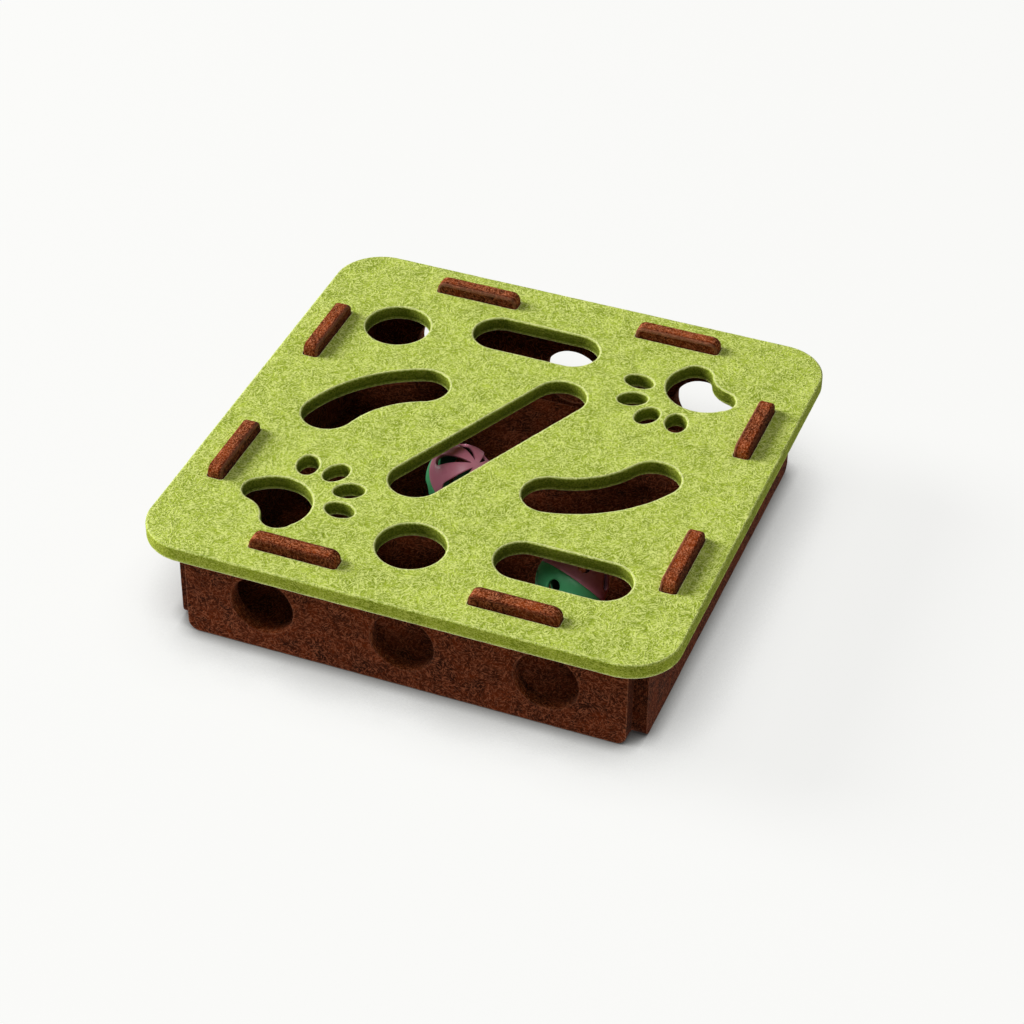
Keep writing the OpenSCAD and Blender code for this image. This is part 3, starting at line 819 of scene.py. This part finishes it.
def moulded_plastic(name, body, shade):
    """Injection-moulded polypropylene: smooth, softly glossy, with a faint orange-peel skin and flow marks.

    The flow marks are some 9 mm long. The peel's bumps are 0.9 mm wide, coarser than real ones, to show.
    The hollow side of the shell is darkened with painted shade.
    """
    material, tree, output = new_material(name)
    place = add(tree, "ShaderNodeTexCoord")
    flow = add(tree, NOISE, {"Scale": per_metre(9.0), "Detail": 2.0, "Distortion": 1.2},
               [("Vector", place, "Object")])
    flow_share = add(tree, RANGE, {"From Min": 0.35, "From Max": 0.70, "To Max": 0.45},
                     [("Value", flow, "Fac")])
    skin = add(tree, MIX, {MIX_A: linear(body), MIX_B: linear(shade)}, [(0, flow_share, "Result")], **COLOURS)
    # Painted shade on the hollow side of the shell
    hollow = add(tree, ATTRIBUTE, attribute_name="hollow")
    colour = add(tree, MIX, {MIX_B: HOLLOW_PAINTED_SHADE}, [(0, hollow, "Fac"), (MIX_A, skin, MIX_RESULT)],
                 blend_type="MULTIPLY", **COLOURS)
    gloss = add(tree, RANGE, {"From Min": 0.3, "From Max": 0.7, "To Min": 0.26, "To Max": 0.40},
                [("Value", flow, "Fac")])
    peel = add(tree, NOISE, {"Scale": per_metre(0.9), "Detail": 1.0}, [("Vector", place, "Object")])
    bump = add(tree, BUMP, {"Strength": 0.12, "Distance": 0.05 * MM}, [("Height", peel, "Fac")])
    shader = add(tree, PRINCIPLED, {"IOR": 1.49},
                 [("Base Color", colour, MIX_RESULT), ("Roughness", gloss, "Result"),
                  ("Normal", bump, "Normal")])
    tree.links.new(shader.outputs["BSDF"], output.inputs["Surface"])
    return material


def sheet_steel(name, body, shade, rough_low, rough_high):
    """Drawn sheet steel: bright metal with duller patches some 3 mm wide and handling marks of 0.5 mm."""
    material, tree, output = new_material(name)
    place = add(tree, "ShaderNodeTexCoord")
    patches = add(tree, NOISE, {"Scale": per_metre(3.0), "Detail": 3.0}, [("Vector", place, "Object")])
    colour = add(tree, MIX, {MIX_A: linear(body), MIX_B: linear(shade)}, [(0, patches, "Fac")], **COLOURS)
    marks = add(tree, NOISE, {"Scale": per_metre(0.5), "Detail": 2.0}, [("Vector", place, "Object")])
    rough = add(tree, RANGE, {"From Min": 0.3, "From Max": 0.7, "To Min": rough_low, "To Max": rough_high},
                [("Value", patches, "Fac")])
    bump = add(tree, BUMP, {"Strength": 0.1, "Distance": 0.02 * MM}, [("Height", marks, "Fac")])
    shader = add(tree, PRINCIPLED, {"Metallic": 1.0},
                 [("Base Color", colour, MIX_RESULT), ("Roughness", rough, "Result"),
                  ("Normal", bump, "Normal")])
    tree.links.new(shader.outputs["BSDF"], output.inputs["Surface"])
    return material


def seen_rays(tree):
    """Node that gives 1 to rays from the camera, also by gloss or glass, and 0 to rays that carry light."""
    ray = add(tree, "ShaderNodeLightPath")
    glossy = add(tree, MATH, (), [(0, ray, "Is Camera Ray"), (1, ray, "Is Glossy Ray")], operation="MAXIMUM")
    return add(tree, MATH, (), [(0, glossy, "Value"), (1, ray, "Is Transmission Ray")], operation="MAXIMUM")


# Camera

camera_data = bpy.data.cameras.new("photo_camera")
camera_data.lens = CAMERA_LENS
camera_data.sensor_width = SENSOR
camera = bpy.data.objects.new("photo_camera", camera_data)
camera.location = CAMERA_AT
camera.rotation_euler = [math.radians(a) for a in CAMERA_TURN]
bpy.context.scene.collection.objects.link(camera)
bpy.context.scene.camera = camera

# Finishes

# Painted shade on the inside of a ball: what its hollow side keeps of its colour
HOLLOW_PAINTED_SHADE = (0.22, 0.22, 0.22, 1.0)
# Felts, with tones of the deep ground, the body, the pale fibres and the frayed edge with its painted sheen
# Cut gains: own tone of open cut sides, partly painted shade (lid's sides) and painted light (brown tabs)
GREEN_FELT = {
    "tones": ("#7E931A", "#BED14C", "#E6F08C", "#F4F2BE"), "mottle": 0.18, "sparse": 0.50,
    "cut_tone_and_painted_light_gain": (0.62, 0.63, 0.32), "painted_shade_gain": (0.15, 0.18, 0.01), "fray_and_painted_sheen_share": 0.95,
}
BROWN_FELT = {
    "tones": ("#200801", "#662606", "#98563A", "#C89070"), "mottle": 0.14, "sparse": 0.53,
    "cut_tone_and_painted_light_gain": (2.0, 2.25, 2.2), "painted_shade_gain": (0.62, 0.56, 0.50), "fray_and_painted_sheen_share": 0.22,
}
green_felt = felt("green_needle_punched_felt", **GREEN_FELT)
brown_felt = felt("brown_needle_punched_felt", **BROWN_FELT)
pink_plastic = moulded_plastic("pink_moulded_polypropylene", "#F094AC", "#E4849E")
green_plastic = moulded_plastic("green_moulded_polypropylene", "#62CE8A", "#54C07C")
bell_steel = sheet_steel("tinned_sheet_steel", "#C6C8CB", "#A9ACB0", 0.18, 0.36)
pellet_steel = sheet_steel("plain_steel_ball", "#9A9DA1", "#83868B", 0.25, 0.45)

# Felt boards

HOLE_PLACES = (-WALL_HOLE_PITCH, 0.0, WALL_HOLE_PITCH)
FLOOR_SIZE = 2.0 * (WALL_IN - PANEL_FIT)
FLOOR_CUTS = [(rectangle(FLOOR_SIZE, FLOOR_SIZE, SHARP_CORNER), WALL_EDGE_R, 1.0)]
BOARDS = (
    ("lid", lid_cuts(), flat_at(LID_UNDER), "lid"),
    ("front_wall", wall_cuts(LONG_WALL, HOLE_PLACES), upright(0.0), "box"),
    ("right_wall", wall_cuts(SIDE_WALL, ()), upright(90.0), "box"),
    ("back_wall", wall_cuts(LONG_WALL, HOLE_PLACES), upright(180.0), "box"),
    ("left_wall", wall_cuts(SIDE_WALL, ()), upright(270.0), "box"),
    ("floor_panel", FLOOR_CUTS, flat_at(0.0), "box"),
)
FELTS = {"lid": ("felt_green", green_felt), "box": ("felt_brown", brown_felt)}
for seed, (node, cuts, place, body) in enumerate(BOARDS, 1):
    slot, finish = FELTS[body]
    board = felt_board(node + "_felt", cuts, place, body, node, seed)
    board.data.materials.append(finish)

# Balls and bells

LIP_R = SEAM_R - SEAM_FIT
SEAM_OUTSIDE = ((BALL_R, SEAM_EDGE), (BALL_R - SEAM_BEVEL * SEAM_EDGE, SEAM_BEVEL * SEAM_EDGE),
                (BALL_R - SEAM_EDGE, 0.0))
PINK_SEAM = SEAM_OUTSIDE + ((SEAM_R, 0.0), (SEAM_R, SEAM_LIP + SEAM_FIT), (BALL_IN_R, SEAM_LIP + SEAM_FIT))
GREEN_SEAM = SEAM_OUTSIDE + ((LIP_R, 0.0), (LIP_R, -SEAM_LIP), (BALL_IN_R, -SEAM_LIP))
HALVES = (("pink", 1.0, PINK_SEAM, pink_plastic), ("green", -1.0, GREEN_SEAM, green_plastic))
BELL_PIECES = (("cap", bell_steel), ("cup", bell_steel), ("pellet", pellet_steel))
for i, ball in BALLS.items():
    for colour, up, seam, finish in HALVES:
        node = "ball_%d_%s_half" % (i, colour)
        limit = math.degrees(math.acos(seam[-1][1] / BALL_IN_R))
        body = "ball_%d" % i
        slot = "plastic_" + colour
        half = half_ball(node + "_shell", ball, up, ball[colour], seam, limit, body, node)
        half.data.materials.append(finish)
    for piece, finish in BELL_PIECES:
        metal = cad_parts["bell_%d_%s" % (i, piece)]
        metal.data.materials.clear()
        metal.data.materials.append(finish)

# Stage and light

FLOOR_HALF = 6.0
FLOOR_Z = -0.0003
LIT_PAPER = linear("#F2F2F0")
SEEN_PAPER = linear("#FBFBF9")
# Share of the floor's look that is plain white glow with a painted soft contact shadow, worked out from the
# openness round each point, and the reach, depth and range of openness of that painted shadow and of the
# darker one close to the foot
FLOOR_GLOW = 0.86
CONTACT_REACH = 0.055
CONTACT_SHADE = 0.05
CONTACT_OPEN = (0.25, 0.9)
FOOT_REACH = 0.009
FOOT_SHADE = 0.40
FOOT_OPEN = 0.5
OPENNESS_SAMPLES = 8
# Share and level of the floor's bounce that also comes from the shaded side, as from a white room
EVEN_SHARE = 0.5
EVEN_BOUNCE = 0.9
ROOM_LIGHT = 0.12
# Lamps as (name, bearing and height in degrees, distance and size in metres, power)
LAMPS = (("left_softbox", 180.0, 29.0, 8.0, 4.2, 880.0), ("top_softbox", -60.0, 66.0, 4.0, 1.6, 36.0))

floor_mesh = bpy.data.meshes.new("studio_floor")
floor_corners = [(x * FLOOR_HALF, y * FLOOR_HALF, FLOOR_Z) for x, y in ((-1, -1), (1, -1), (1, 1), (-1, 1))]
floor_mesh.from_pydata(floor_corners, [], [(0, 1, 2, 3)])
studio_floor = bpy.data.objects.new("studio_floor", floor_mesh)
bpy.context.scene.collection.objects.link(studio_floor)
floor_paper, tree, output = new_material("white_studio_paper")
lit_paper = add(tree, "ShaderNodeBsdfDiffuse", {"Color": LIT_PAPER})
even_paper = add(tree, "ShaderNodeEmission", {"Color": LIT_PAPER, "Strength": EVEN_BOUNCE})
bounced = add(tree, "ShaderNodeMixShader", {0: EVEN_SHARE},
              [(1, lit_paper, "BSDF"), (2, even_paper, "Emission")])
shadowed = add(tree, "ShaderNodeBsdfDiffuse", {"Color": SEEN_PAPER})
# Painted contact shadow on the floor's glow, from the openness round each point
nearby = add(tree, "ShaderNodeAmbientOcclusion", {"Distance": CONTACT_REACH}, samples=OPENNESS_SAMPLES)
contact = add(tree, RANGE,
              {"From Min": CONTACT_OPEN[0], "From Max": CONTACT_OPEN[1], "To Min": CONTACT_SHADE},
              [("Value", nearby, "AO")])
touching = add(tree, "ShaderNodeAmbientOcclusion", {"Distance": FOOT_REACH}, samples=OPENNESS_SAMPLES)
foot = add(tree, RANGE, {"From Min": FOOT_OPEN, "To Min": FOOT_SHADE}, [("Value", touching, "AO")])
shade = add(tree, MATH, (), [(0, contact, "Result"), (1, foot, "Result")], operation="MULTIPLY")
glow = add(tree, "ShaderNodeEmission", {"Color": SEEN_PAPER}, [("Strength", shade, "Value")])
paper = add(tree, "ShaderNodeMixShader", {0: FLOOR_GLOW}, [(1, shadowed, "BSDF"), (2, glow, "Emission")])
stage = add(tree, "ShaderNodeMixShader", (),
            [(0, seen_rays(tree), "Value"), (1, bounced, "Shader"), (2, paper, "Shader")])
tree.links.new(stage.outputs["Shader"], output.inputs["Surface"])
floor_mesh.materials.append(floor_paper)

world = bpy.data.worlds.new("studio_room")
bpy.context.scene.world = world
world.use_nodes = True
tree = world.node_tree
tree.nodes.clear()
strength = add(tree, RANGE, {"To Min": ROOM_LIGHT, "To Max": 1.0}, [("Value", seen_rays(tree), "Value")])
room = add(tree, "ShaderNodeBackground", (), [("Strength", strength, "Result")])
add(tree, "ShaderNodeOutputWorld", (), [("Surface", room, "Background")])

for name, bearing, height, distance, size, power in LAMPS:
    lamp_data = bpy.data.lights.new(name, "AREA")
    lamp_data.shape = "DISK"
    lamp_data.size = size
    lamp_data.energy = power
    lamp = bpy.data.objects.new(name, lamp_data)
    bearing, height = math.radians(bearing), math.radians(height)
    level = math.cos(height)
    way = Vector((level * math.cos(bearing), level * math.sin(bearing), math.sin(height)))
    lamp.location = way * distance
    lamp.rotation_euler = way.to_track_quat("Z", "Y").to_euler()
    bpy.context.scene.collection.objects.link(lamp)

bpy.context.scene.view_settings.view_transform = "Standard"
